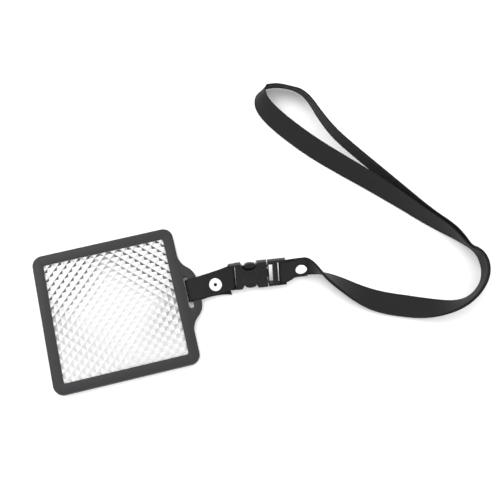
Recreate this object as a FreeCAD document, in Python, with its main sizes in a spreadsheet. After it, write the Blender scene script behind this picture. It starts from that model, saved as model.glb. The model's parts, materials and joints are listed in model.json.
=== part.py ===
import FreeCAD, Part
import math
import os
import Sketcher
from FreeCAD import Placement, Rotation, Vector

# Handheld white-balance diffuser on a neck strap.
# Row frame in mm: X from the plate towards the tether, Y up the plate, Z out of its face.
# The origin is the middle of the plate's back face, which lies on the table.

doc = FreeCAD.newDocument("diffuser")
sheet = doc.addObject("Spreadsheet::Sheet", "Dimensions")

ROWS = [
    ("plate", 100.0, "side of the square plate"),
    ("plate_r", 7.0, "outer corner radius"),
    ("window", 85.5, "side of the square window"),
    ("window_r", 1.6, "window corner radius"),
    ("pocket", 90.4, "side of the pocket that holds the inserts"),
    ("rear_t", 1.4, "thickness of the rear frame"),
    ("front_t", 2.2, "thickness of the front frame and its tab"),
    ("lip_t", 0.7, "lip of the front frame over the lens"),
    ("insert", 90.0, "side of the lens and of the diffuser sheet"),
    ("sheet_t", 0.55, "thickness of the diffuser sheet"),
    ("rear_lip", 0.8, "lip of the rear frame behind the sheet"),
    ("lens_t", 1.45, "thickness of the lens plate"),
    ("prism_h", 0.45, "height of the facets above the lens plate"),
    ("prism_side", 85.1, "side of the faceted field"),
    ("tab_out", 9.6, "how far the tab stands out"),
    ("tab_flat", 16.0, "straight length of the tab's outer edge"),
    ("tab_base", 57.0, "length of the tab where it leaves the plate"),
    ("tab_root", 3.0, "how far the tab runs into the plate"),
    ("slot_x", 50.3, "inner side of the strap slot"),
    ("slot_w", 3.3, "width of the strap slot"),
    ("slot_l", 23.4, "length of the strap slot"),
    ("slot_r", 1.6, "corner radius of the strap slot"),
    ("web_w", 16.0, "webbing width"),
    ("web_t", 1.1, "webbing thickness"),
    ("ply", 1.15, "spacing of stacked webbing plies"),
    ("yaw", -7.1, "turn of the buckle, degrees"),
    ("roll", -45.0, "roll of the buckle about its length, degrees"),
    ("buckle_x", 80.7, "start of the buckle"),
    ("buckle_y", 2.25, "and its place up the plate"),
    ("buckle_z", 9.1, "and the height of its middle"),
    ("chain_x", 60.0, "where the tether leaves the tab"),
    ("chain_y", 1.2, "and its place along the tab"),
    ("bar_r", 1.25, "radius of the buckle's strap bars"),
    ("bar_l", 17.0, "length of the buckle's strap bars"),
    ("bar_x", 2.6, "socket's strap bar from the start of the buckle"),
    ("wrap_r", 2.0, "middle radius of webbing round a bar"),
    ("rivet_u", 11.6, "tether rivet along the tether"),
    ("rivet_side", -1.2, "and its place across the tether"),
    ("rivet_z", 5.25, "and the height of the webbing there"),
    ("rivet_d", 9.0, "tether rivet head diameter"),
    ("neck_d", 8.4, "neck rivet head diameter"),
    ("shank_d", 4.2, "rivet shank diameter"),
    ("rivet_hole", 2.4, "hollow of the tether rivet"),
    ("head_t", 0.9, "rivet head thickness"),
    ("cap_t", 0.7, "rivet cap thickness"),
    ("sock_x", 5.3, "socket shell's front edge"),
    ("sock_l", 27.3, "socket length"),
    ("sock_w", 19.4, "socket width"),
    ("sock_t", 6.2, "socket thickness"),
    ("rail_in", 8.3, "inner side of the socket's rails"),
    ("rail_r", 2.3, "half the rails' thickness"),
    ("cav_x", 7.6, "closed end of the socket's cavity"),
    ("cav_w", 14.8, "width of the socket's cavity"),
    ("cav_t", 4.0, "height of the socket's cavity"),
    ("mouth_0", 10.4, "start of the side mouths"),
    ("mouth_1", 19.3, "end of the side mouths"),
    ("scallop_x", 15.0, "middle of the finger scallops"),
    ("scallop_y", 10.6, "and its distance from the middle line"),
    ("scallop_r", 5.7, "and its radius"),
    ("plug_x", 27.9, "near face of the plug's frame"),
    ("plug_end", 40.4, "far end of the plug's frame"),
    ("plug_t", 5.2, "thickness of the plug's frame"),
    ("gap_0", 28.5, "start of the plug's open slot"),
    ("gap_1", 31.2, "end of the plug's open slot"),
    ("gap_2", 34.7, "start of the plug's strap opening"),
    ("gap_w", 14.8, "width of the plug's open slot"),
    ("end_bar", 38.0, "plug's strap bar"),
    ("tongue_x", 9.5, "tip of the plug's middle tongue"),
    ("tongue_w", 4.4, "width of the tongue"),
    ("tongue_t", 3.2, "thickness of the tongue"),
    ("arm_x", 26.9, "hinge line of the arms"),
    ("arm_y", 6.3, "and its distance from the middle"),
    ("arm_w", 1.7, "width of the arms at the hinge"),
    ("arm_t", 3.4, "thickness of the arms"),
    ("shell_r", 1.3, "rounding of the socket's long edges"),
    ("rail_set", 0.4, "how far the rails stand in from the socket's sides"),
    ("plug_r", 1.1, "rounding of the plug's long edges"),
    ("tongue_r", 1.2, "rounding of the tongue's tip"),
    ("tether_crown", 0.35, "rounding of the tether rivet's head"),
    ("neck_crown", 0.6, "rounding of the neck rivet's head"),
]
for i, (name, value, note) in enumerate(ROWS, start=1):
    sheet.set("A%d" % i, name)
    sheet.set("B%d" % i, str(value))
    sheet.set("C%d" % i, note)
    sheet.setAlias("B%d" % i, name)
doc.recompute()
D = {name: float(getattr(sheet, name)) for name, _, _ in ROWS}
W, T, PLY = D["web_w"], D["web_t"], D["ply"]
UP = Vector(0, 0, 1)
NEAR = 1e-3


# ---------------------------------------------------------------- feature helpers
def bound(text):
    """An expression in which each word is a cell of the sheet."""
    words = text.split(" ")
    return " ".join("Dimensions." + w if w in D else w for w in words)


def new_sketch(body, name, height="0", role="XY_Plane"):
    """A sketch on one of the body's own planes, lifted along that plane's normal."""
    plane = [f for f in body.Origin.OriginFeatures if f.Role == role][0]
    sketch = body.newObject("Sketcher::SketchObject", name)
    sketch.AttachmentSupport = [(plane, "")]
    sketch.MapMode = "FlatFace"
    sketch.setExpression("AttachmentOffset.Base.z", bound(height))
    return sketch


def pin(sketch, geometry, vertex, x, y):
    """Fixes a point at expressions x, y from the sketch's origin."""
    now = sketch.getPoint(geometry, vertex)
    for text, kind, axis, value in ((x, "DistanceX", -2, now.x), (y, "DistanceY", -1, now.y)):
        if text == "0":
            sketch.addConstraint(Sketcher.Constraint("PointOnObject", geometry, vertex, axis))
        else:
            at = sketch.addConstraint(Sketcher.Constraint(kind, -1, 1, geometry, vertex, value))
            sketch.setExpression("Constraints[%d]" % at, bound(text))


def polygon(sketch, points):
    """A closed outline through points of two expressions each."""
    first, count = sketch.GeometryCount, len(points)
    ring = [Vector(math.cos(2 * math.pi * i / count), math.sin(2 * math.pi * i / count), 0)
            for i in range(count)]
    for i in range(count):
        sketch.addGeometry(Part.LineSegment(ring[i], ring[(i + 1) % count]))
    for i in range(count):
        after = first + (i + 1) % count
        sketch.addConstraint(Sketcher.Constraint("Coincident", first + i, 2, after, 1))
    for i, (x, y) in enumerate(points):
        pin(sketch, first + i, 1, x, y)


def rectangle(sketch, left, right, bottom, top):
    polygon(sketch, [(left, bottom), (right, bottom), (right, top), (left, top)])


def square(sketch, side):
    low, high = "- %s / 2" % side, "%s / 2" % side
    rectangle(sketch, low, high, low, high)


def circle(sketch, x, y, radius):
    made = sketch.addGeometry(Part.Circle(Vector(1, 1, 0), UP, 1.0))
    pin(sketch, made, 3, x, y)
    at = sketch.addConstraint(Sketcher.Constraint("Radius", made, 1.0))
    sketch.setExpression("Constraints[%d]" % at, bound(radius))


def extruded(kind, body, sketch, length):
    """A Pad above the sketch, or a Pocket below it."""
    made = body.newObject("PartDesign::" + kind, sketch.Name + "_" + kind)
    made.Profile = sketch
    made.setExpression("Length", bound(length))
    sketch.Visibility = False
    return made


def fillet(body, feature, radius, picked):
    """Rounds the feature's edges that the test picks."""
    doc.recompute()
    names = ["Edge%d" % i for i, e in enumerate(feature.Shape.Edges, 1) if picked(e)]
    made = body.newObject("PartDesign::Fillet", feature.Name + "_round")
    made.Base = (feature, names)
    made.setExpression("Radius", bound(radius))
    return made


def upright(edge):
    a, b = edge.Vertexes[0].Point, edge.Vertexes[-1].Point
    return abs(a.z - b.z) > 1e-6 and abs(a.x - b.x) < 1e-6 and abs(a.y - b.y) < 1e-6


def new_body(label):
    body = doc.addObject("PartDesign::Body", label)
    body.Label = label
    return body


# ---------------------------------------------------------------- plate
def square_plate(label, height, thickness):
    body = new_body(label)
    outline = new_sketch(body, label + "_outline", height)
    square(outline, "plate")
    plate = extruded("Pad", body, outline, thickness)
    fillet(body, plate, "plate_r", upright)
    return body


def cut_square(body, name, side, height, depth, radius=None):
    hole = new_sketch(body, name, height)
    square(hole, side)
    cut = extruded("Pocket", body, hole, depth)
    if radius:
        half = D[side] / 2
        fillet(body, cut, radius, lambda e: upright(e) and abs(abs(e.CenterOfMass.x) - half) < NEAR
               and abs(abs(e.CenterOfMass.y) - half) < NEAR)


def tab_outline(sketch):
    """The strap tab: each flank is two equal arcs that meet at a tangent."""
    x0, x1 = D["plate"] / 2, D["plate"] / 2 + D["tab_out"]
    y0, y1 = D["tab_base"] / 2, D["tab_flat"] / 2
    root = x0 - D["tab_root"]
    turn = 2 * math.atan((x1 - x0) / (y0 - y1))
    r = (y0 - y1) / (2 * math.sin(turn))

    def arc(cx, cy, degrees_0, degrees_1):
        full = Part.Circle(Vector(cx, cy, 0), UP, r)
        return Part.ArcOfCircle(full, math.radians(degrees_0), math.radians(degrees_1))

    bend = math.degrees(turn)
    foot_a = sketch.addGeometry(arc(x0 + r, y0, 180, 180 + bend))
    crown_a = sketch.addGeometry(arc(x1 - r, y1, 0, bend))
    crown_b = sketch.addGeometry(arc(x1 - r, -y1, 360 - bend, 360))
    foot_b = sketch.addGeometry(arc(x0 + r, -y0, 180 - bend, 180))
    edge = sketch.addGeometry(Part.LineSegment(Vector(x1, y1, 0), Vector(x1, -y1, 0)))
    low = sketch.addGeometry(Part.LineSegment(Vector(x0, -y0, 0), Vector(root, -y0, 0)))
    back = sketch.addGeometry(Part.LineSegment(Vector(root, -y0, 0), Vector(root, y0, 0)))
    high = sketch.addGeometry(Part.LineSegment(Vector(root, y0, 0), Vector(x0, y0, 0)))
    joins = [(crown_a, 1, edge, 1), (edge, 2, crown_b, 2), (foot_b, 2, low, 1), (low, 2, back, 1),
             (back, 2, high, 1), (high, 2, foot_a, 1)]
    for a, a_end, b, b_end in joins:
        sketch.addConstraint(Sketcher.Constraint("Coincident", a, a_end, b, b_end))
    sketch.addConstraint(Sketcher.Constraint("Tangent", foot_a, 2, crown_a, 2))
    sketch.addConstraint(Sketcher.Constraint("Tangent", crown_b, 1, foot_b, 1))
    for a, b in ((foot_a, crown_a), (foot_b, crown_b)):
        sketch.addConstraint(Sketcher.Constraint("Equal", a, b))
    for geometry, end in ((foot_a, 1), (crown_a, 1), (crown_b, 2), (foot_b, 2)):
        sketch.addConstraint(Sketcher.Constraint("Horizontal", geometry, 3, geometry, end))
    pin(sketch, foot_a, 1, "plate / 2", "tab_base / 2")
    pin(sketch, crown_a, 1, "plate / 2 + tab_out", "tab_flat / 2")
    pin(sketch, crown_b, 2, "plate / 2 + tab_out", "- tab_flat / 2")
    pin(sketch, foot_b, 2, "plate / 2", "- tab_base / 2")
    pin(sketch, back, 1, "plate / 2 - tab_root", "- tab_base / 2")
    pin(sketch, back, 2, "plate / 2 - tab_root", "tab_base / 2")


front_frame = square_plate("front_frame", "rear_t", "front_t")
tab_sketch = new_sketch(front_frame, "tab", "rear_t")
tab_outline(tab_sketch)
extruded("Pad", front_frame, tab_sketch, "front_t")
slot_sketch = new_sketch(front_frame, "strap_slot", "rear_t + front_t")
rectangle(slot_sketch, "slot_x", "slot_x + slot_w", "- slot_l / 2", "slot_l / 2")
slot_cut = extruded("Pocket", front_frame, slot_sketch, "front_t")
fillet(front_frame, slot_cut, "slot_r", lambda e: upright(e) and e.CenterOfMass.x > D["slot_x"] - 0.1
       and abs(abs(e.CenterOfMass.y) - D["slot_l"] / 2) < NEAR)
cut_square(front_frame, "front_window", "window", "rear_t + front_t", "front_t", "window_r")
cut_square(front_frame, "front_pocket", "pocket", "rear_t + front_t - lip_t", "front_t - lip_t")

rear_frame = square_plate("rear_frame", "0", "rear_t")
cut_square(rear_frame, "rear_window", "window", "rear_t", "rear_t", "window_r")
cut_square(rear_frame, "rear_pocket", "pocket", "rear_t", "rear_t - rear_lip")

diffuser_sheet = new_body("diffuser_sheet")
sheet_sketch = new_sketch(diffuser_sheet, "sheet_outline", "rear_lip")
square(sheet_sketch, "insert")
extruded("Pad", diffuser_sheet, sheet_sketch, "sheet_t")

prismatic_lens = new_body("prismatic_lens")
lens_sketch = new_sketch(prismatic_lens, "lens_outline", "rear_t")
square(lens_sketch, "insert")
extruded("Pad", prismatic_lens, lens_sketch, "lens_t")
facet_sketch = new_sketch(prismatic_lens, "facet_field", "rear_t + lens_t")
square(facet_sketch, "prism_side")
facets = extruded("Pad", prismatic_lens, facet_sketch, "prism_h")
fillet(prismatic_lens, facets, "window_r", lambda e: upright(e) and e.CenterOfMass.z > D["rear_t"] + D["lens_t"])


# ---------------------------------------------------------------- buckle
def turned(v, axis, degrees):
    return Rotation(axis, degrees).multVec(v)


def unit(v):
    return Vector(v).multiply(1.0 / v.Length)


ALONG = turned(Vector(1, 0, 0), UP, D["yaw"])
B_Y = turned(turned(Vector(0, 1, 0), UP, D["yaw"]), ALONG, -D["roll"])
B_Z = turned(UP, ALONG, -D["roll"])
B_ORIGIN = Vector(D["buckle_x"], D["buckle_y"], D["buckle_z"])
B_PLACE = Placement(B_ORIGIN, Rotation(ALONG, B_Y, B_Z, "ZXY"))


def in_buckle(x, y=0.0, z=0.0):
    return B_ORIGIN + ALONG * x + B_Y * y + B_Z * z


def slab_pad(body, name, kind, sides, thickness):
    """A rectangle as thick as told, half of it above the buckle's middle plane."""
    sketch = new_sketch(body, name, "%s%s / 2" % ("" if kind == "Pocket" else "- ", thickness))
    rectangle(sketch, *sides)
    return extruded(kind, body, sketch, thickness)


def bar(body, name, x):
    """A round strap bar across the buckle."""
    sketch = new_sketch(body, name, "- bar_l / 2", "XZ_Plane")
    circle(sketch, x, "0", "bar_r")
    return extruded("Pad", body, sketch, "bar_l")


buckle_socket = new_body("buckle_socket")
shell = slab_pad(buckle_socket, "shell", "Pad", ("sock_x", "sock_l", "- sock_w / 2", "sock_w / 2"), "sock_t")
half_w, half_t = D["sock_w"] / 2, D["sock_t"] / 2
fillet(buckle_socket, shell, "shell_r", lambda e: abs(abs(e.CenterOfMass.z) - half_t) < NEAR
       and abs(abs(e.CenterOfMass.y) - half_w) < NEAR)
for side, y0 in (("far", "sock_w / 2 - rail_set"), ("near", "- rail_in")):
    rail = new_sketch(buckle_socket, side + "_rail", "- ( %s )" % y0, "XZ_Plane")
    rectangle(rail, "bar_x", "cav_x", "- rail_r", "rail_r")
    extruded("Pad", buckle_socket, rail, "sock_w / 2 - rail_set - rail_in")
    nose = new_sketch(buckle_socket, side + "_nose", "- ( %s )" % y0, "XZ_Plane")
    circle(nose, "bar_x", "0", "rail_r")
    extruded("Pad", buckle_socket, nose, "sock_w / 2 - rail_set - rail_in")
bar(buckle_socket, "socket_bar", "bar_x")
slab_pad(buckle_socket, "cavity", "Pocket", ("cav_x", "sock_l + 1", "- cav_w / 2", "cav_w / 2"), "cav_t")
slab_pad(buckle_socket, "side_mouths", "Pocket", ("mouth_0", "mouth_1", "- sock_w", "sock_w"), "cav_t")
scallops = new_sketch(buckle_socket, "scallops", "sock_t / 2")
circle(scallops, "scallop_x", "scallop_y", "scallop_r")
circle(scallops, "scallop_x", "- scallop_y", "scallop_r")
extruded("Pocket", buckle_socket, scallops, "sock_t")

buckle_plug = new_body("buckle_plug")
frame = slab_pad(buckle_plug, "plug_frame", "Pad", ("plug_x", "plug_end", "- sock_w / 2", "sock_w / 2"), "plug_t")
fillet(buckle_plug, frame, "plug_r", lambda e: abs(abs(e.CenterOfMass.y) - half_w) < NEAR
       and abs(abs(e.CenterOfMass.z) - D["plug_t"] / 2) < NEAR)
slab_pad(buckle_plug, "open_slot", "Pocket", ("gap_0", "gap_1", "- gap_w / 2", "gap_w / 2"), "plug_t")
slab_pad(buckle_plug, "strap_opening", "Pocket", ("gap_2", "plug_end + 1", "- rail_in", "rail_in"), "plug_t")
bar(buckle_plug, "plug_bar", "end_bar")
tongue = slab_pad(buckle_plug, "tongue", "Pad", ("tongue_x", "plug_x + 0.5", "- tongue_w / 2", "tongue_w / 2"),
                  "tongue_t")
fillet(buckle_plug, tongue, "tongue_r", lambda e: upright(e) and abs(e.CenterOfMass.x - D["tongue_x"]) < NEAR)


def make_arm(label, sign):
    """A spring arm of the plug, hinged at its root; sign is + on the far side."""
    body = new_body(label)
    root = new_sketch(body, label + "_root", "- arm_t / 2")
    circle(root, "arm_x", sign + "arm_y", "arm_w / 2")
    extruded("Pad", body, root, "arm_t")
    outline = new_sketch(body, label + "_outline", "- arm_t / 2")
    outer, inner = sign + "( arm_y + arm_w / 2 )", sign + "( arm_y - arm_w / 2 )"
    nose = [("19.1", "8.5"), ("17.6", "9.1"), ("14.6", "9.4"), ("12.4", "8.7"), ("11.0", "6.9"), ("11.0", "5.6"),
            ("14.0", "5.2"), ("18.0", "5.2")]
    points = [("arm_x", outer), ("19.2", outer)] + [(x, sign + y) for x, y in nose]
    polygon(outline, points + [("20.5", inner), ("arm_x", inner)])
    extruded("Pad", body, outline, "arm_t")
    return body


buckle_arm_far = make_arm("buckle_arm_far", "")
buckle_arm_near = make_arm("buckle_arm_near", "- ")
for body in (buckle_socket, buckle_plug, buckle_arm_far, buckle_arm_near):
    body.Placement = B_PLACE


# ---------------------------------------------------------------- webbing helpers
def ribbon(stations):
    """Webbing through stations of (centre, across, normal)."""
    wires = []
    for centre, across, normal in stations:
        a, n = across * (W / 2), normal * (T / 2)
        corners = [centre - a - n, centre + a - n, centre + a + n, centre - a + n]
        wires.append(Part.makePolygon(corners + [corners[0]]))
    shape = Part.makeLoft(wires, True, True)
    return shape if shape.Volume > 0 else shape.reversed()


def wrap(centre, across, first, second, radius, angles):
    """Stations round a bar; the angle turns from first towards second."""
    out = []
    for a in angles:
        c, s = math.cos(math.radians(a)), math.sin(math.radians(a))
        normal = first * c + second * s
        out.append((centre + normal * radius, across, normal))
    return out


def shifted(stations, offset):
    return [(c + n * offset, a, n) for c, a, n in stations]


def flipped(stations):
    return [(c, a, n * -1.0) for c, a, n in stations]


def disc(centre, normal, radius, z0, z1):
    return Part.makeCylinder(radius, z1 - z0, centre + normal * z0, normal)


# ---------------------------------------------------------------- tether
START = Vector(D["chain_x"], D["chain_y"], 0)
BAR = in_buckle(D["bar_x"])
CHORD = Vector(BAR.x - START.x, BAR.y - START.y, 0)
BAR_U = CHORD.Length
TETHER_YAW = math.degrees(math.atan2(CHORD.y, CHORD.x))
FORWARD = unit(CHORD)
RIVET_U, GRIP = D["rivet_u"], 4.6
SLOPE = 13.0
RISE = GRIP * math.tan(math.radians(SLOPE))
MID_Z = [(0, 2.5), (RIVET_U - GRIP, D["rivet_z"] - RISE), (RIVET_U + GRIP, D["rivet_z"] + RISE), (BAR_U, BAR.z)]
ROLL = [(2, 0.0), (RIVET_U - GRIP, -18.0), (RIVET_U + GRIP, -18.0), (BAR_U, D["roll"])]
PITCH = [(0, 2.0), (RIVET_U - GRIP, SLOPE), (RIVET_U + GRIP, SLOPE), (BAR_U, 0.0)]
YAW = [(-2, 0.0), (RIVET_U - GRIP, TETHER_YAW), (RIVET_U + GRIP, TETHER_YAW), (BAR_U, D["yaw"])]


def spread(table, u):
    """Straight-line value of a table of (u, value)."""
    if u <= table[0][0]:
        return table[0][1]
    for (u0, v0), (u1, v1) in zip(table, table[1:]):
        if u <= u1:
            return v0 + (v1 - v0) * (u - u0) / (u1 - u0)
    return table[-1][1]


def tether_station(u, offset, side=0.0):
    """Webbing of the tether at u, off its middle ply and to one side."""
    yaw, pitch, roll = spread(YAW, u), -spread(PITCH, u), -spread(ROLL, u)
    across = turned(Vector(0, 1, 0), UP, yaw)
    along = turned(turned(Vector(1, 0, 0), UP, yaw), across, pitch)
    normal = turned(turned(UP, across, pitch), along, roll)
    across = turned(across, along, roll)
    return START + FORWARD * u + UP * spread(MID_Z, u) + normal * offset + across * side, across, normal


under = [tether_station(RIVET_U + GRIP, -PLY, -1.9), tether_station(RIVET_U - GRIP, -PLY, -0.3),
         tether_station(4.4, -1.3), tether_station(2.0, -1.75)]
rivet_c, rivet_a, rivet_n = tether_station(RIVET_U, 0.0, D["rivet_side"])
rivet_x = rivet_a.cross(rivet_n)
droop = rivet_x * 3.2 - rivet_n * 1.6 - rivet_a * 1.7
under.insert(0, (under[0][0] + droop, under[0][1], under[0][2]))

LOW_Z, TOP_Z, CORNER, FACE = 0.62, 4.36, 0.85, 38.0
Y_AXIS, LEFT, DOWN = Vector(0, 1, 0), Vector(-1, 0, 0), Vector(0, 0, -1)
slot_edge = D["slot_x"] + D["slot_w"]
top_bend = Vector(slot_edge + 0.15, D["chain_y"], TOP_Z - CORNER)
drop = TOP_Z - LOW_Z - 2 * CORNER
low_bend = top_bend - Vector(drop * math.tan(math.radians(FACE)), 0, drop)
under.append((Vector(slot_edge + 4.6, D["chain_y"], LOW_Z), Y_AXIS, UP))
loop = wrap(low_bend, Y_AXIS, DOWN, LEFT, CORNER, (0, 32, 64, 96, 90 + FACE))
loop += wrap(top_bend, Y_AXIS, LEFT, UP, CORNER, (FACE, 64, 90))
over = [(Vector(slot_edge + 4.6, D["chain_y"], TOP_Z), Y_AXIS, UP), tether_station(2.0, 1.6),
        tether_station(4.4, 1.25), tether_station(RIVET_U - GRIP, PLY), tether_station(RIVET_U + GRIP, PLY),
        tether_station(BAR_U - 4.9, PLY + 0.25)]
HALF_TURN = (0, 30, 60, 90, 120, 150, 180)
round_bar = wrap(BAR, B_Y, B_Z, ALONG, D["wrap_r"], HALF_TURN)
back = [tether_station(BAR_U - 2.3, -1.55), tether_station(BAR_U - 5.5, -0.15), tether_station(RIVET_U + GRIP, 0.0),
        tether_station(RIVET_U - GRIP, 0.0), tether_station(5.2, 0.0)]
tether_strap = ribbon(flipped(under) + loop + over + round_bar + flipped(back))

# ---------------------------------------------------------------- neck strap
# Stations of a strand on edge: x, y of its lower edge and its lean in degrees, + to the left.
INNER = [(155.6, -12.2, -39), (161.1, -16.0, -48), (167.0, -20.6, -57), (173.5, -25.2, -68), (180.5, -29.4, -79),
         (189.0, -33.4, -86), (198.5, -37.2, -86), (208.5, -41.4, -78), (217.0, -44.8, -63), (225.4, -47.8, -45),
         (233.0, -49.5, -28), (240.8, -49.0, -14), (248.2, -45.3, -7), (254.4, -39.4, -3), (257.4, -32.0, -1),
         (258.2, -25.4, 4), (257.4, -19.5, 12), (254.6, -14.4, 21), (250.4, -9.4, 16), (243.4, -2.6, 2),
         (235, 5, -8), (226, 14, -12), (216, 25, -18), (206, 35.5, -24), (195.5, 46.5, -30), (178.5, 63.5, -38),
         (166, 76.5, -42), (155, 89.5, -44), (143, 106, -44), (135.5, 119, -42), (132.3, 129.5, -36),
         (133.6, 137.5, -30), (137.6, 142.6, -24), (143.5, 144.8, -18)]
OUTER_TAIL = [(252.0, -7.4, 14), (244.8, 1.4, 3), (232.6, 14.8, 0), (218.9, 35.6, -1), (206.4, 55.5, 0),
              (193.4, 75.5, 0), (182.5, 93.5, 0), (176.5, 111, 2), (174, 123, 6), (170.5, 132.5, 14),
              (164.5, 139, 22), (156, 143.3, 21), (149.5, 144.7, 19), (143.5, 144.8, 18)]
# From the plug's bar through the twist: lower edge, lean and heading of the middle ply.
NECK = [(121.3, -8.3, 3.1, 42, -7), (126.7, -5.4, 1.3, 27, -6), (131.3, -5.9, 1.3, 27, -6),
        (135.9, -6.4, 1.3, 27, -6), (139.9, -6.9, 0.9, 8, -14), (144.6, -7.6, 0.6, -14, -24),
        (149.6, -9.9, 0.5, -28, -30)]
SPLIT = 18
REST = 0.16


def edge_station(x, y, z, lean, head):
    """Webbing whose lower edge is at x, y, z, leaning to the left of its heading."""
    left = Vector(-head.y, head.x, 0)
    r = math.radians(lean)
    across = UP * math.cos(r) + left * math.sin(r)
    return Vector(x, y, z) + across * (W / 2), across, unit(head.cross(across))


def strand(table, last_head, below):
    """Stations of a strand that stands on the table; below is what lies under it where it leans right."""
    out = []
    for i, (x, y, lean) in enumerate(table):
        a = Vector(*table[max(0, i - 1)][:2], 0)
        b = Vector(*table[min(len(table) - 1, i + 1)][:2], 0)
        head = last_head if i == len(table) - 1 else unit(b - a)
        depth = T / 2 + (below if lean < 0 and i < SPLIT else 0.0)
        out.append(edge_station(x, y, REST + depth * abs(math.sin(math.radians(lean))), lean, head))
    return out


def eased(a, b, t):
    """Station between two stations, with its width and thickness squared up."""
    across = unit(a[1] + (b[1] - a[1]) * t)
    rough = a[2] + (b[2] - a[2]) * t
    return a[0] + (b[0] - a[0]) * t, across, unit(rough - across * rough.dot(across))


neck = [edge_station(x, y, z, lean, turned(Vector(1, 0, 0), UP, heading)) for x, y, z, lean, heading in NECK]
inner = strand(INNER, Vector(1, 0, 0), PLY)
tail = strand(OUTER_TAIL, Vector(-1, 0, 0), 0.0)

FAN = 1.55
top_ply = shifted(neck[:1], FAN) + shifted(neck[1:4], PLY)
low_ply = shifted(neck[:1], -FAN) + shifted(neck[1:], -PLY)
around = wrap(in_buckle(D["end_bar"]), B_Y, B_Z, ALONG * -1.0, D["wrap_r"], HALF_TURN)
neck_loop = ribbon(list(reversed(top_ply)) + around + flipped(low_ply))
neck_inner = ribbon([low_ply[-1]] + inner)
neck_outer = ribbon([eased(neck[1], neck[2], 0.1)] + neck[3:] + shifted(inner[:SPLIT], PLY) + tail)
neck_c, neck_a, neck_n = neck[2]

# ---------------------------------------------------------------- rivets
STACK = "( ply + web_t / 2 + 0.02 )"
FOOT = 0.05


def turning(body, name, points):
    """A turned piece: an outline of radius and height, spun about its axis."""
    sketch = new_sketch(body, name, "0", "XZ_Plane")
    polygon(sketch, points)
    made = body.newObject("PartDesign::Revolution", name + "_turned")
    made.Profile = sketch
    made.ReferenceAxis = (sketch, ["V_Axis"])
    made.Angle = 360.0
    sketch.Visibility = False
    return made


def make_rivet(name, centre, normal, head, hollow, crown):
    """A post with its head on top of the plies and a cap under them."""
    place = Placement(centre, Rotation(UP, normal))
    post = new_body(name + "_post")
    foot = "- %s - cap_t - %s" % (STACK, FOOT)
    spun = turning(post, name + "_profile", [
        (hollow, foot), ("shank_d / 2", foot), ("shank_d / 2", STACK), (head + " / 2", STACK),
        (head + " / 2", STACK + " + head_t"), (hollow, STACK + " + head_t")])
    top = PLY + T / 2 + 0.02 + D["head_t"]
    fillet(post, spun, crown, lambda e: len(e.Vertexes) == 1 and abs(e.CenterOfMass.z - top) < NEAR
           and e.Curve.Radius > D["shank_d"] / 2)
    cap = new_body(name + "_cap")
    inside, outside = "shank_d / 2 + 0.02", head + " / 2 - 0.5"
    turning(cap, name + "_ring", [(inside, "- %s - cap_t" % STACK), (outside, "- %s - cap_t" % STACK),
                                  (outside, "- " + STACK), (inside, "- " + STACK)])
    post.Placement = place
    cap.Placement = place
    return post, cap


tether_rivet_post, tether_rivet_cap = make_rivet("tether_rivet", rivet_c, rivet_n, "rivet_d", "rivet_hole / 2",
                                                 "tether_crown")
neck_rivet_post, neck_rivet_cap = make_rivet("neck_rivet", neck_c, neck_n, "neck_d", "0", "neck_crown")
doc.recompute()

shank = D["shank_d"] / 2 + 0.1
neck_hole = disc(neck_c, neck_n, shank, -4, 4)
WEBBING = {
    "tether_strap": tether_strap.cut(disc(rivet_c, rivet_n, shank, -4, 4))
        .cut(tether_rivet_post.Shape).cut(tether_rivet_cap.Shape),
    "neck_strap_loop": neck_loop.cut(neck_hole).cut(neck_rivet_post.Shape).cut(neck_rivet_cap.Shape),
    "neck_strap_inner": neck_inner,
    "neck_strap_outer": neck_outer.cut(neck_hole),
}
for name, shape in WEBBING.items():
    piece = doc.addObject("Part::Feature", name)
    piece.Label = name
    piece.Shape = shape
doc.recompute()

# ---------------------------------------------------------------- check and write
for thing in doc.Objects:
    if "Invalid" in thing.State or "Error" in thing.State:
        raise RuntimeError("%s is %s" % (thing.Name, thing.State))
pieces = [o for o in doc.Objects if o.TypeId in ("PartDesign::Body", "Part::Feature")]
os.makedirs("parts", exist_ok=True)
for piece in pieces:
    shape = piece.Shape
    if shape.isNull() or not shape.isValid() or len(shape.Solids) != 1:
        raise RuntimeError("%s has no single valid solid" % piece.Label)
    bb = shape.BoundBox
    print("%-18s vol %9.1f  x %.1f..%.1f  y %.1f..%.1f  z %.2f..%.2f" % (
        piece.Label, shape.Volume, bb.XMin, bb.XMax, bb.YMin, bb.YMax, bb.ZMin, bb.ZMax))
    shape.Solids[0].exportStep("parts/%s.step" % piece.Label)
print("bar", BAR, "end bar", in_buckle(D["end_bar"]), "arms", in_buckle(D["arm_x"], D["arm_y"]),
      in_buckle(D["arm_x"], -D["arm_y"]), "axes", ALONG, B_Y, B_Z, "bar_u", BAR_U, "yaw", TETHER_YAW)
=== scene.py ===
import bpy
import bmesh
import json
import math
from mathutils import Matrix, Vector

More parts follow.
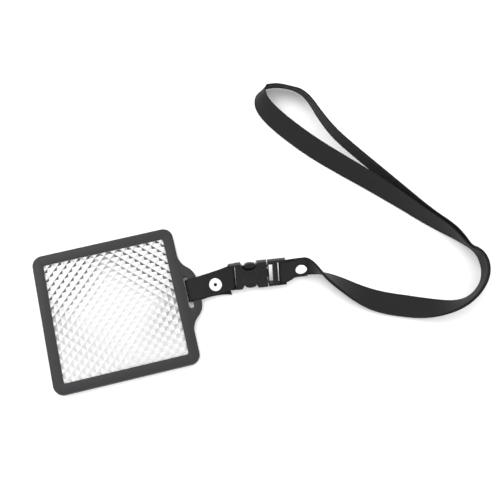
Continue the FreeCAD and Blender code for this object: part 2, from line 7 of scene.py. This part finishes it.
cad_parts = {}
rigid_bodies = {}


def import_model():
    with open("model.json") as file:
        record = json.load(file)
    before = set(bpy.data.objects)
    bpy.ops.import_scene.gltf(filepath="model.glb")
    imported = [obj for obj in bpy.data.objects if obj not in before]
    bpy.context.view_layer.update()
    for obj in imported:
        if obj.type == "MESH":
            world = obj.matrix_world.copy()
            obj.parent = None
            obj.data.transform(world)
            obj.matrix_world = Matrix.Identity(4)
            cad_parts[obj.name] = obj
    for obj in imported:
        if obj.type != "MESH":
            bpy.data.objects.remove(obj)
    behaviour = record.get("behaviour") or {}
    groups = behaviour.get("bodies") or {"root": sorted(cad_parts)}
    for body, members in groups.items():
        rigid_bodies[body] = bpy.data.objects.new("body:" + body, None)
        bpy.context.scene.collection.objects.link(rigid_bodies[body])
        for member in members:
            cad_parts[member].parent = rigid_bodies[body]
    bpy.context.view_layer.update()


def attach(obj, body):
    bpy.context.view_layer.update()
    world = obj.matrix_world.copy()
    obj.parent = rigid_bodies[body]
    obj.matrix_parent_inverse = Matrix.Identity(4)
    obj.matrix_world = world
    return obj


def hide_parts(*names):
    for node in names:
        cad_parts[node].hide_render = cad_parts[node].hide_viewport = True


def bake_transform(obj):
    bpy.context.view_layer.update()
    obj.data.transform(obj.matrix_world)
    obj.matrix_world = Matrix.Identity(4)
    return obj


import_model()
MM = 0.001

# ---------------------------------------------------------------- sizes shared with the solids, in mm
WEB_W, WEB_T, PLY = 16.0, 1.1, 1.15
START = Vector((60.0, 1.2, 0.0))
B_ORIGIN = Vector((80.7, 2.25, 9.1))
B_YAW, B_ROLL = -7.1, -45.0
SOCKET_BAR, END_BAR, WRAP_R = 2.6, 38.0, 2.0
RIVET_U, RIVET_Z, GRIP, SLOPE = 11.6, 5.25, 4.6, 13.0
UP = Vector((0.0, 0.0, 1.0))
EX, EY = Vector((1.0, 0.0, 0.0)), Vector((0.0, 1.0, 0.0))


def turned(v, axis, degrees):
    return Matrix.Rotation(math.radians(degrees), 3, axis) @ v


ALONG = turned(EX, UP, B_YAW)
B_Y = turned(turned(EY, UP, B_YAW), ALONG, -B_ROLL)
B_Z = turned(UP, ALONG, -B_ROLL)


def in_buckle(x, y=0.0, z=0.0):
    return B_ORIGIN + ALONG * x + B_Y * y + B_Z * z


# ---------------------------------------------------------------- mesh helpers
def new_object(name, mesh):
    obj = bpy.data.objects.new(name, mesh)
    bpy.context.scene.collection.objects.link(obj)
    return obj


def mesh_object(name, verts, faces):
    mesh = bpy.data.meshes.new(name)
    mesh.from_pydata([tuple(v) for v in verts], [], faces)
    mesh.validate()
    mesh.shade_smooth()
    return new_object(name, mesh)


def nurbs_points(points, resolution):
    """Points on the NURBS line of order 3 through a route's control points."""
    curve = bpy.data.curves.new("route", "CURVE")
    curve.dimensions = "3D"
    spline = curve.splines.new("NURBS")
    spline.points.add(len(points) - 1)
    for slot, p in zip(spline.points, points):
        slot.co = (p[0], p[1], p[2], 1.0)
    spline.order_u = 3
    spline.use_endpoint_u = True
    spline.resolution_u = resolution
    holder = bpy.data.objects.new("route", curve)
    bpy.context.scene.collection.objects.link(holder)
    bpy.context.view_layer.update()
    mesh = bpy.data.meshes.new_from_object(holder)
    line = [v.co.copy() for v in mesh.vertices]
    bpy.data.objects.remove(holder)
    bpy.data.curves.remove(curve)
    bpy.data.meshes.remove(mesh)
    return line


# Cross-section of the webbing: across and thickness, as fractions of half width and half thickness.
PROFILE = [(-1.0, 0.0), (-0.985, 0.62), (-0.95, 0.96), (-0.9, 1.0), (-0.86, 0.88), (-0.43, 0.9), (0.0, 0.9),
           (0.43, 0.9), (0.86, 0.88), (0.9, 1.0), (0.95, 0.96), (0.985, 0.62), (1.0, 0.0)]
PROFILE += [(a, -b) for a, b in PROFILE[-2:0:-1]]


def webbing(name, stations, resolution=8):
    """Webbing through stations of (centre, across, normal) in mm, and its middle line.

    The normal is worked out afresh from the smoothed edges.
    """
    half = WEB_W / 2 * MM
    low = nurbs_points([c * MM - a * half for c, a, _ in stations], resolution)
    high = nurbs_points([c * MM + a * half for c, a, _ in stations], resolution)
    middle = [(p + q) / 2 for p, q in zip(low, high)]
    verts, uvs, run = [], [], 0.0
    for i, (p, q, m) in enumerate(zip(low, high, middle)):
        ahead = middle[min(i + 1, len(middle) - 1)] - middle[max(i - 1, 0)]
        across = (q - p).normalized()
        normal = ahead.cross(across).normalized()
        if i:
            run += (m - middle[i - 1]).length
        for a, b in PROFILE:
            verts.append(m + across * (a * half) + normal * (b * WEB_T / 2 * MM))
            uvs.append((run, a * half))
    count = len(PROFILE)
    faces = []
    for i in range(len(middle) - 1):
        for j in range(count):
            k = (j + 1) % count
            faces.append((i * count + j, (i + 1) * count + j, (i + 1) * count + k, i * count + k))
    faces.append(tuple(range(count)))
    last = (len(middle) - 1) * count
    faces.append(tuple(last + j for j in reversed(range(count))))
    piece = mesh_object(name, verts, faces)
    layer = piece.data.uv_layers.new(name="weave")
    for loop in piece.data.loops:
        layer.data[loop.index].uv = uvs[loop.vertex_index]
    return piece, middle


SEAM = 2e-6
FLAT_ANGLE, EDGE_ANGLE, SHARP_ANGLE = math.radians(1.0), math.radians(30), math.radians(32)


def tidy_solid(name, node, width, segments=2):
    """A CAD solid's shape with its flat faces joined and every sharp edge rounded."""
    source = next(o for o in bpy.data.objects if o.name == node)
    mesh = source.data.copy()
    mesh.transform(source.matrix_world)
    work = bmesh.new()
    work.from_mesh(mesh)
    bmesh.ops.remove_doubles(work, verts=work.verts, dist=SEAM)
    bmesh.ops.dissolve_limit(work, angle_limit=FLAT_ANGLE, verts=work.verts, edges=work.edges)
    work.to_mesh(mesh)
    work.free()
    mesh.materials.clear()
    piece = new_object(name, mesh)
    bevel = piece.modifiers.new("round", "BEVEL")
    bevel.width = width * MM
    bevel.segments = segments
    bevel.limit_method = "ANGLE"
    bevel.angle_limit = EDGE_ANGLE
    bpy.context.view_layer.update()
    graph = bpy.context.evaluated_depsgraph_get()
    done = bpy.data.meshes.new_from_object(piece.evaluated_get(graph))
    piece.modifiers.clear()
    piece.data = done
    done.shade_smooth()
    done.set_sharp_from_angle(angle=SHARP_ANGLE)
    return piece


# ---------------------------------------------------------------- camera
CAM_AT = Vector((43.2, -173.0, 569.8)) * MM
CAM_LOOK = Vector((101.3, 21.2, 0.0)) * MM
CAM_ROLL = math.radians(2.9)
camera = bpy.data.objects.new("camera", bpy.data.cameras.new("camera"))
bpy.context.scene.collection.objects.link(camera)
camera.data.sensor_width = 36.0
camera.data.lens = 61.2
camera.data.clip_start = 0.01
camera.location = CAM_AT
aim = (CAM_LOOK - CAM_AT).to_track_quat("-Z", "Y").to_matrix()
camera.matrix_world = Matrix.Translation(CAM_AT) @ (aim @ Matrix.Rotation(CAM_ROLL, 3, "Z")).to_4x4()
bpy.context.scene.camera = camera


# ---------------------------------------------------------------- neck strap
# Stations of a strand on edge: x, y of its lower edge and its lean in degrees, + to the left.
INNER = [(155.6, -12.2, -39), (161.1, -16.0, -48), (167.0, -20.6, -57), (173.5, -25.2, -68), (180.5, -29.4, -79),
         (189.0, -33.4, -86), (198.5, -37.2, -86), (208.5, -41.4, -78), (217.0, -44.8, -63), (225.4, -47.8, -45),
         (233.0, -49.5, -28), (240.8, -49.0, -14), (248.2, -45.3, -7), (254.4, -39.4, -3), (257.4, -32.0, -1),
         (258.2, -25.4, 4), (257.4, -19.5, 12), (254.6, -14.4, 21), (250.4, -9.4, 16), (243.4, -2.6, 2),
         (235, 5, -8), (226, 14, -12), (216, 25, -18), (206, 35.5, -24), (195.5, 46.5, -30), (178.5, 63.5, -38),
         (166, 76.5, -42), (155, 89.5, -44), (143, 106, -44), (135.5, 119, -42), (132.3, 129.5, -36),
         (133.6, 137.5, -30), (137.6, 142.6, -24), (143.5, 144.8, -18)]
OUTER_TAIL = [(252.0, -7.4, 14), (244.8, 1.4, 3), (232.6, 14.8, 0), (218.9, 35.6, -1), (206.4, 55.5, 0),
              (193.4, 75.5, 0), (182.5, 93.5, 0), (176.5, 111, 2), (174, 123, 6), (170.5, 132.5, 14),
              (164.5, 139, 22), (156, 143.3, 21), (149.5, 144.7, 19), (143.5, 144.8, 18)]
# From the plug's bar through the twist: lower edge, lean and heading of the middle ply.
NECK = [(121.3, -8.3, 3.1, 42, -7), (126.7, -5.4, 1.3, 27, -6), (131.3, -5.9, 1.3, 27, -6),
        (135.9, -6.4, 1.3, 27, -6), (139.9, -6.9, 0.9, 8, -14), (144.6, -7.6, 0.6, -14, -24),
        (149.6, -9.9, 0.5, -28, -30)]
SPLIT, REST, FAN = 18, 0.16, 1.55


def edge_station(x, y, z, lean, head):
    """Webbing whose lower edge is at x, y, z, leaning to the left of its heading."""
    left = Vector((-head.y, head.x, 0.0))
    r = math.radians(lean)
    across = UP * math.cos(r) + left * math.sin(r)
    return Vector((x, y, z)) + across * (WEB_W / 2), across, head.cross(across).normalized()


def strand(table, last_head, below):
    """Stations of a strand on the table; below is what lies under it where it leans right."""
    out = []
    for i, (x, y, lean) in enumerate(table):
        a = Vector((*table[max(0, i - 1)][:2], 0.0))
        b = Vector((*table[min(len(table) - 1, i + 1)][:2], 0.0))
        head = last_head if i == len(table) - 1 else (b - a).normalized()
        depth = WEB_T / 2 + (below if lean < 0 and i < SPLIT else 0.0)
        out.append(edge_station(x, y, REST + depth * abs(math.sin(math.radians(lean))), lean, head))
    return out


def eased(a, b, t):
    """Station between two stations, with its width and thickness squared up."""
    across = (a[1] + (b[1] - a[1]) * t).normalized()
    rough = a[2] + (b[2] - a[2]) * t
    return a[0] + (b[0] - a[0]) * t, across, (rough - across * rough.dot(across)).normalized()


def shifted(stations, offset):
    return [(c + n * offset, a, n) for c, a, n in stations]


def flipped(stations):
    return [(c, a, n * -1.0) for c, a, n in stations]


def wrap(centre, across, first, second, radius, angles):
    """Stations round a bar; the angle turns from first towards second."""
    out = []
    for angle in angles:
        c, s = math.cos(math.radians(angle)), math.sin(math.radians(angle))
        normal = first * c + second * s
        out.append((centre + normal * radius, across, normal))
    return out


neck = [edge_station(x, y, z, lean, turned(EX, UP, heading)) for x, y, z, lean, heading in NECK]
inner = strand(INNER, EX, PLY)
tail = strand(OUTER_TAIL, EX * -1.0, 0.0)
top_ply = shifted(neck[:1], FAN) + shifted(neck[1:4], PLY)
low_ply = shifted(neck[:1], -FAN) + shifted(neck[1:], -PLY)
HALF_TURN = (0, 15, 30, 45, 60, 75, 90, 105, 120, 135, 150, 165, 180)
around = wrap(in_buckle(END_BAR), B_Y, B_Z, ALONG * -1.0, WRAP_R, HALF_TURN)
loop_route = list(reversed(top_ply)) + around + flipped(low_ply)
outer_route = [eased(neck[1], neck[2], 0.1)] + neck[3:] + shifted(inner[:SPLIT], PLY) + tail
strap_loop, _ = webbing("strap_loop", loop_route, resolution=5)
strap_inner, inner_line = webbing("strap_inner", [low_ply[-1]] + inner)
strap_outer, outer_line = webbing("strap_outer", outer_route)


# ---------------------------------------------------------------- tether
BAR = in_buckle(SOCKET_BAR)
CHORD = Vector((BAR.x - START.x, BAR.y - START.y, 0.0))
BAR_U = CHORD.length
FORWARD = CHORD.normalized()
TETHER_YAW = math.degrees(math.atan2(CHORD.y, CHORD.x))
RISE = GRIP * math.tan(math.radians(SLOPE))
MID_Z = [(0, 2.5), (RIVET_U - GRIP, RIVET_Z - RISE), (RIVET_U + GRIP, RIVET_Z + RISE), (BAR_U, BAR.z)]
ROLLS = [(2, 0.0), (RIVET_U - GRIP, -18.0), (RIVET_U + GRIP, -18.0), (BAR_U, B_ROLL)]
PITCH = [(0, 2.0), (RIVET_U - GRIP, SLOPE), (RIVET_U + GRIP, SLOPE), (BAR_U, 0.0)]
YAWS = [(-2, 0.0), (RIVET_U - GRIP, TETHER_YAW), (RIVET_U + GRIP, TETHER_YAW), (BAR_U, B_YAW)]


def spread(table, u):
    """Straight-line value of a table of (u, value)."""
    if u <= table[0][0]:
        return table[0][1]
    for (u0, v0), (u1, v1) in zip(table, table[1:]):
        if u <= u1:
            return v0 + (v1 - v0) * (u - u0) / (u1 - u0)
    return table[-1][1]


def tether_station(u, offset, side=0.0):
    """Webbing of the tether at u, off its middle ply and to one side."""
    yaw, pitch, roll = spread(YAWS, u), -spread(PITCH, u), -spread(ROLLS, u)
    across = turned(EY, UP, yaw)
    along = turned(turned(EX, UP, yaw), across, pitch)
    normal = turned(turned(UP, across, pitch), along, roll)
    across = turned(across, along, roll)
    return START + FORWARD * u + UP * spread(MID_Z, u) + normal * offset + across * side, across, normal


SLOT_EDGE, LOW_Z, TOP_Z, CORNER, FACE = 53.6, 0.62, 4.36, 0.85, 38.0
under = [tether_station(RIVET_U + GRIP, -PLY, -1.9), tether_station(RIVET_U - GRIP, -PLY, -0.3),
         tether_station(4.4, -1.3), tether_station(2.0, -1.75)]
_, rivet_a, rivet_n = tether_station(RIVET_U, 0.0)
droop = rivet_a.cross(rivet_n) * 3.2 - rivet_n * 1.6 - rivet_a * 1.7
under.insert(0, (under[0][0] + droop, under[0][1], under[0][2]))
under.append((Vector((SLOT_EDGE + 4.6, START.y, LOW_Z)), EY, UP))
top_bend = Vector((SLOT_EDGE + 0.15, START.y, TOP_Z - CORNER))
drop = TOP_Z - LOW_Z - 2 * CORNER
low_bend = top_bend - Vector((drop * math.tan(math.radians(FACE)), 0.0, drop))
route = flipped(under) + wrap(low_bend, EY, UP * -1.0, EX * -1.0, CORNER, (0, 32, 64, 96, 90 + FACE))
route += wrap(top_bend, EY, EX * -1.0, UP, CORNER, (FACE, 64, 90))
route += [(Vector((SLOT_EDGE + 4.6, START.y, TOP_Z)), EY, UP), tether_station(2.0, 1.6),
          tether_station(4.4, 1.25), tether_station(RIVET_U - GRIP, PLY), tether_station(RIVET_U + GRIP, PLY),
          tether_station(BAR_U - 4.9, PLY + 0.25)]
route += wrap(BAR, B_Y, B_Z, ALONG, WRAP_R, HALF_TURN)
route += flipped([tether_station(BAR_U - 2.3, -1.55), tether_station(BAR_U - 5.5, -0.15),
                  tether_station(RIVET_U + GRIP, 0.0), tether_station(RIVET_U - GRIP, 0.0),
                  tether_station(5.2, 0.0)])
tether, _ = webbing("tether_webbing", route, resolution=5)

# ---------------------------------------------------------------- moulded pieces
front = tidy_solid("frame_front", "front_frame", 0.35, 3)
rear = tidy_solid("frame_rear", "rear_frame", 0.3, 2)
socket = tidy_solid("socket_shell", "buckle_socket", 0.28, 2)
plug = tidy_solid("plug_frame", "buckle_plug", 0.28, 2)
arm_near = tidy_solid("arm_near_clip", "buckle_arm_near", 0.25, 2)
arm_far = tidy_solid("arm_far_clip", "buckle_arm_far", 0.25, 2)
post_a = tidy_solid("tether_rivet_head", "tether_rivet_post", 0.12, 2)
cap_a = tidy_solid("tether_rivet_washer", "tether_rivet_cap", 0.15, 2)
post_b = tidy_solid("neck_rivet_head", "neck_rivet_post", 0.12, 2)
cap_b = tidy_solid("neck_rivet_washer", "neck_rivet_cap", 0.15, 2)

# ---------------------------------------------------------------- prismatic lens
CELL, HALF_FIELD, HALF_PLATE = 4.76, 42.55, 45.0
LENS_BASE, VALLEY, PEAK = 1.4, 2.1, 3.3
FIELD_WALL, SEAT_GAP = 0.25, 0.02


def faceted_lens():
    """A plate of square pyramids set on the diagonal, clipped to the window, closed underneath."""
    work = bmesh.new()
    half = CELL / 2
    reach = int(HALF_FIELD * 1.5 / CELL) + 2
    spin = Matrix.Rotation(math.radians(45), 3, "Z")
    corners = {}

    def vert(x, y, z):
        key = (round(x, 4), round(y, 4), z)
        if key not in corners:
            corners[key] = work.verts.new(spin @ Vector((x, y, z)))
        return corners[key]

    for i in range(-reach, reach):
        for j in range(-reach, reach):
            x, y = i * CELL, j * CELL
            ring = [vert(x, y, VALLEY), vert(x + CELL, y, VALLEY), vert(x + CELL, y + CELL, VALLEY),
                    vert(x, y + CELL, VALLEY)]
            peak = vert(x + half, y + half, PEAK)
            for a, b in zip(ring, ring[1:] + ring[:1]):
                work.faces.new((a, b, peak))
    for side in (Vector((1, 0, 0)), Vector((-1, 0, 0)), Vector((0, 1, 0)), Vector((0, -1, 0))):
        geometry = work.verts[:] + work.edges[:] + work.faces[:]
        bmesh.ops.bisect_plane(work, geom=geometry, plane_co=side * HALF_FIELD, plane_no=side,
                               clear_outer=True)

    def extruded_rim():
        rim = [e for e in work.edges if e.is_boundary]
        wall = bmesh.ops.extrude_edge_only(work, edges=rim)["geom"]
        return [v for v in wall if isinstance(v, bmesh.types.BMVert)]

    grow = HALF_PLATE / HALF_FIELD
    for v in extruded_rim():
        v.co.z = VALLEY - FIELD_WALL
    for v in extruded_rim():
        v.co.x *= grow
        v.co.y *= grow
    for v in extruded_rim():
        v.co.z = LENS_BASE + SEAT_GAP
    bmesh.ops.contextual_create(work, geom=[e for e in work.edges if e.is_boundary])
    bmesh.ops.recalc_face_normals(work, faces=work.faces)
    bmesh.ops.scale(work, vec=(MM, MM, MM), verts=work.verts)
    mesh = bpy.data.meshes.new("lens")
    work.to_mesh(mesh)
    work.free()
    mesh.shade_flat()
    return new_object("lens_facets", mesh)


lens = faceted_lens()


# ---------------------------------------------------------------- materials
def material(name, color, roughness, specular=0.5):
    mat = bpy.data.materials.new(name)
    mat.use_nodes = True
    shader = mat.node_tree.nodes["Principled BSDF"]
    shader.inputs["Base Color"].default_value = (*color, 1.0)
    shader.inputs["Roughness"].default_value = roughness
    shader.inputs["Specular IOR Level"].default_value = specular
    return mat, mat.node_tree, shader


def node(tree, kind, **values):
    made = tree.nodes.new(kind)
    for key, value in values.items():
        if key in made.inputs:
            made.inputs[key].default_value = value
        else:
            setattr(made, key, value)
    return made


def grain(tree, shader, scale, strength, distance):
    """Fine moulded texture: bump from noise in object space."""
    coords = node(tree, "ShaderNodeTexCoord")
    noise = node(tree, "ShaderNodeTexNoise", Scale=scale, Detail=3.0)
    bump = node(tree, "ShaderNodeBump", Strength=strength, Distance=distance)
    tree.links.new(coords.outputs["Object"], noise.inputs["Vector"])
    tree.links.new(noise.outputs["Fac"], bump.inputs["Height"])
    tree.links.new(bump.outputs["Normal"], shader.inputs["Normal"])
    return noise


def ramped(tree, source, target, low, high):
    mix = node(tree, "ShaderNodeMapRange")
    mix.inputs["To Min"].default_value = low
    mix.inputs["To Max"].default_value = high
    tree.links.new(source, mix.inputs["Value"])
    tree.links.new(mix.outputs["Result"], target)


frame_mat, tree, shader = material("frame_plastic", (0.018, 0.018, 0.0195), 0.5, 0.26)
noise = grain(tree, shader, 2200.0, 0.25, 0.00004)
ramped(tree, noise.outputs["Fac"], shader.inputs["Roughness"], 0.42, 0.6)

acetal_mat, tree, shader = material("buckle_acetal", (0.006, 0.006, 0.006), 0.28, 0.2)
noise = grain(tree, shader, 1500.0, 0.2, 0.00003)
ramped(tree, noise.outputs["Fac"], shader.inputs["Roughness"], 0.2, 0.34)

nickel_mat, tree, shader = material("nickel", (0.86, 0.85, 0.83), 0.22)
shader.inputs["Metallic"].default_value = 1.0
noise = grain(tree, shader, 900.0, 0.1, 0.00002)
ramped(tree, noise.outputs["Fac"], shader.inputs["Roughness"], 0.16, 0.3)

sheet_mat, tree, shader = material("white_diffuser", (0.9, 0.9, 0.89), 0.6)
grain(tree, shader, 3000.0, 0.2, 0.00003)


def lens_material():
    """Partly clear white facets with painted shading, whiter where a facet is turned to the light, and a painted
    dark reflection of the frame where a facet faces a near edge of the frame.
    """
    mat, tree, shader = material("prism_acrylic", (1.0, 1.0, 1.0), 0.1)
    shader.inputs["Transmission Weight"].default_value = 0.25
    shader.inputs["IOR"].default_value = 1.49
    coords = node(tree, "ShaderNodeTexCoord")

    def dotted(first, direction=None):
        made = node(tree, "ShaderNodeVectorMath", operation="DOT_PRODUCT")
        tree.links.new(first, made.inputs[0])
        if direction is None:
            tree.links.new(coords.outputs["Normal"], made.inputs[1])
        else:
            made.inputs[1].default_value = direction
        return made.outputs["Value"]

    def eased_range(source, low, high, to_low, to_high):
        made = node(tree, "ShaderNodeMapRange", interpolation_type="SMOOTHSTEP")
        for key, value in (("From Min", low), ("From Max", high), ("To Min", to_low), ("To Max", to_high)):
            made.inputs[key].default_value = value
        tree.links.new(source, made.inputs["Value"])
        return made.outputs["Result"]

    def product(first, second):
        made = node(tree, "ShaderNodeMath", operation="MULTIPLY")
        tree.links.new(first, made.inputs[0])
        tree.links.new(second, made.inputs[1])
        return made.outputs[0]

    spot, normal = coords.outputs["Object"], coords.outputs["Normal"]
    # Far from the middle and turned away from it: these facets get a painted dark reflection of the frame's
    # wall.
    frame_reflection_mask = eased_range(dotted(spot), 0.007, 0.019, 0.0, 0.95)
    # The painted reflection is held to the upper part of the plate, so the lower part stays paler.
    upper = eased_range(dotted(spot, (0.25, 1.0, 0.0)), -0.04, 0.02, 0.25, 1.0)
    # Painted shading: facets turned to the light are painted whiter, the others grey.
    painted_facet_light = eased_range(dotted(normal, (0.6, -0.8, 0.0)), -0.35, 0.35, 0.5, 1.0)
    shade = node(tree, "ShaderNodeMix", data_type="RGBA")
    shade.inputs["A"].default_value = (0.3, 0.3, 0.31, 1.0)
    shade.inputs["B"].default_value = (0.93, 0.93, 0.93, 1.0)
    tree.links.new(painted_facet_light, shade.inputs["Factor"])
    # Painted dark reflection of the frame's wall, mixed over the painted facet shading.
    painted_frame_reflection = node(tree, "ShaderNodeMix", data_type="RGBA")
    painted_frame_reflection.inputs["B"].default_value = (0.05, 0.05, 0.052, 1.0)
    tree.links.new(product(frame_reflection_mask, upper), painted_frame_reflection.inputs["Factor"])
    tree.links.new(shade.outputs["Result"], painted_frame_reflection.inputs["A"])
    tree.links.new(painted_frame_reflection.outputs["Result"], shader.inputs["Base Color"])
    return mat


glass_mat = lens_material()


PICK_PITCH, RIB_PITCH = 0.0011, 0.0009


def webbing_material():
    """Black flat weave: warp ribs along the strap crossed by weft picks."""
    mat, tree, shader = material("webbing", (0.014, 0.014, 0.0145), 0.62, 0.14)
    shader.inputs["Sheen Weight"].default_value = 0.02
    shader.inputs["Sheen Roughness"].default_value = 0.4
    uv = node(tree, "ShaderNodeUVMap", uv_map="weave")
    split = node(tree, "ShaderNodeSeparateXYZ")
    tree.links.new(uv.outputs["UV"], split.inputs["Vector"])

    def wave(socket, pitch):
        turn = node(tree, "ShaderNodeMath", operation="MULTIPLY")
        turn.inputs[1].default_value = 2 * math.pi / pitch
        sine = node(tree, "ShaderNodeMath", operation="SINE")
        tree.links.new(socket, turn.inputs[0])
        tree.links.new(turn.outputs[0], sine.inputs[0])
        return sine.outputs[0]

    along = wave(split.outputs["X"], PICK_PITCH)
    across = wave(split.outputs["Y"], RIB_PITCH)
    cross = node(tree, "ShaderNodeMath", operation="MULTIPLY")
    tree.links.new(along, cross.inputs[0])
    tree.links.new(across, cross.inputs[1])
    bump = node(tree, "ShaderNodeBump", Strength=0.6, Distance=0.00012)
    tree.links.new(cross.outputs[0], bump.inputs["Height"])
    tree.links.new(bump.outputs["Normal"], shader.inputs["Normal"])
    # Painted shade: the colour follows the weave's height, so the hollows between the threads are painted
    # darker.
    weave_hollow_shade = node(tree, "ShaderNodeMapRange")
    weave_hollow_shade.inputs["From Min"].default_value = -1.0
    weave_hollow_shade.inputs["To Min"].default_value = 0.55
    weave_hollow_shade.inputs["To Max"].default_value = 1.0
    tree.links.new(cross.outputs[0], weave_hollow_shade.inputs["Value"])
    mix = node(tree, "ShaderNodeMix", data_type="RGBA")
    mix.inputs["A"].default_value = (0.002, 0.002, 0.002, 1.0)
    mix.inputs["B"].default_value = (0.012, 0.012, 0.0125, 1.0)
    tree.links.new(weave_hollow_shade.outputs["Result"], mix.inputs["Factor"])
    tree.links.new(mix.outputs["Result"], shader.inputs["Base Color"])
    return mat


web_mat = webbing_material()

# ---------------------------------------------------------------- finish each piece
PIECES = [
    (front, "plate", "front_frame", "frame_plastic", frame_mat),
    (rear, "plate", "rear_frame", "frame_plastic", frame_mat),
    (lens, "plate", "prismatic_lens", "prism_acrylic", glass_mat),
    (post_a, "tether", "tether_rivet_post", "nickel", nickel_mat),
    (cap_a, "tether", "tether_rivet_cap", "nickel", nickel_mat),
    (socket, "socket", "buckle_socket", "black_acetal", acetal_mat),
    (plug, "plug", "buckle_plug", "black_acetal", acetal_mat),
    (arm_near, "arm_near", "buckle_arm_near", "black_acetal", acetal_mat),
    (arm_far, "arm_far", "buckle_arm_far", "black_acetal", acetal_mat),
    (strap_loop, "neck", "neck_strap_loop", "black_webbing", web_mat),
    (strap_inner, "neck", "neck_strap_inner", "black_webbing", web_mat),
    (strap_outer, "neck", "neck_strap_outer", "black_webbing", web_mat),
    (post_b, "neck", "neck_rivet_post", "nickel", nickel_mat),
    (cap_b, "neck", "neck_rivet_cap", "nickel", nickel_mat),
]
for piece, body, replaced, slot, mat in PIECES:
    piece.data.materials.clear()
    piece.data.materials.append(mat)
    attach(piece, body)
    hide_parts(replaced)

tether.data.materials.append(web_mat)
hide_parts("tether_strap")
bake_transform(tether)

for slot in bpy.data.objects["diffuser_sheet"].material_slots:
    slot.material = sheet_mat

# ---------------------------------------------------------------- floor and light
floor_mat, tree, shader = material("floor", (0.96, 0.96, 0.96), 0.8)
FLOOR_HALF, FLOOR_Z = 6.0, -0.0003
floor_corners = [(x * FLOOR_HALF, y * FLOOR_HALF, FLOOR_Z) for x, y in ((-1, -1), (1, -1), (1, 1), (-1, 1))]
floor = mesh_object("floor", floor_corners, [(0, 1, 2, 3)])
floor.data.materials.append(floor_mat)

world = bpy.data.worlds.new("studio")
world.use_nodes = True
world.node_tree.nodes["Background"].inputs["Color"].default_value = (1.0, 1.0, 1.0, 1.0)
world.node_tree.nodes["Background"].inputs["Strength"].default_value = 1.3
bpy.context.scene.world = world
bpy.context.scene.view_settings.view_transform = "Standard"


def softbox(name, at, look, size, power):
    light = bpy.data.lights.new(name, "AREA")
    light.shape = "RECTANGLE"
    light.size, light.size_y = size
    light.energy = power
    obj = bpy.data.objects.new(name, light)
    bpy.context.scene.collection.objects.link(obj)
    obj.location = at
    obj.rotation_euler = (Vector(look) - Vector(at)).to_track_quat("-Z", "Y").to_euler()


softbox("key", (-0.5, 0.7, 1.1), (0.1, 0.0, 0.0), (0.9, 0.7), 9.0)
softbox("fill", (0.9, -0.6, 0.9), (0.1, 0.0, 0.0), (0.8, 0.8), 3.0)
